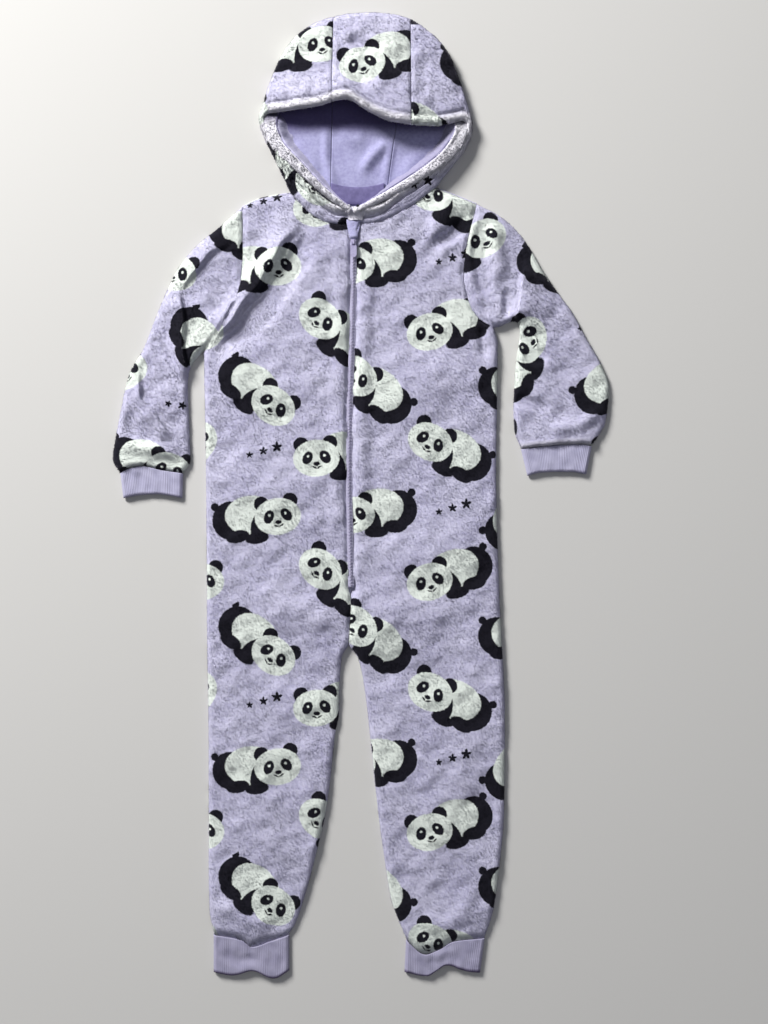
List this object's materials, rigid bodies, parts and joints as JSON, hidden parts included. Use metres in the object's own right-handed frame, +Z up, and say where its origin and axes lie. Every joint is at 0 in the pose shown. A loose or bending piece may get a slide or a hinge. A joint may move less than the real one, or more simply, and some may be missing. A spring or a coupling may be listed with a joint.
{
  "type": "onesie",
  "caption": "Child's hooded fleece sleep onesie with a front zip and ribbed cuffs, laid flat on its back.",
  "frame": {"origin": "on the floor under the middle of the laid-out garment's outline", "axes": "+Y along the garment from the ankle cuffs to the hood, +X towards the wearer's left side, +Z up from the floor to the garment's front"},
  "size_m": [0.6256, 1.2054, 0.031],
  "materials": {
    "plush fleece": "lilac plush fleece, polyester, printed with black and off-white animals and stars",
    "rib knit": "fine lilac rib knit, doubled",
    "woven tape": "woven lilac zip tape",
    "nylon coil": "moulded lilac nylon coil teeth",
    "painted zinc": "die-cast zinc with lilac paint"
  },
  "bodies": {
    "garment": {"front_right": "plush fleece", "front_left": "plush fleece", "back_right": "plush fleece", "back_left": "plush fleece", "sleeve_right": "plush fleece", "sleeve_left": "plush fleece", "cuff_wrist_right": "rib knit", "cuff_wrist_left": "rib knit", "cuff_ankle_right": "rib knit", "cuff_ankle_left": "rib knit", "hood_right": "plush fleece", "hood_left": "plush fleece", "hood_centre": "plush fleece", "zip_tape_right": "woven tape", "zip_tape_left": "woven tape", "zip_coil": "nylon coil", "zip_slider": "painted zinc", "chin_guard": "plush fleece"},
    "pull": {"zip_pull": "painted zinc"}
  },
  "joints": [
    {"name": "pull_hinge", "type": "hinge", "parent": "garment", "child": "pull", "pos_m": [-0.00835, 0.31671, 0.0128], "axis": [-1, 0, 0], "range_deg": [0, 150]}
  ]
}
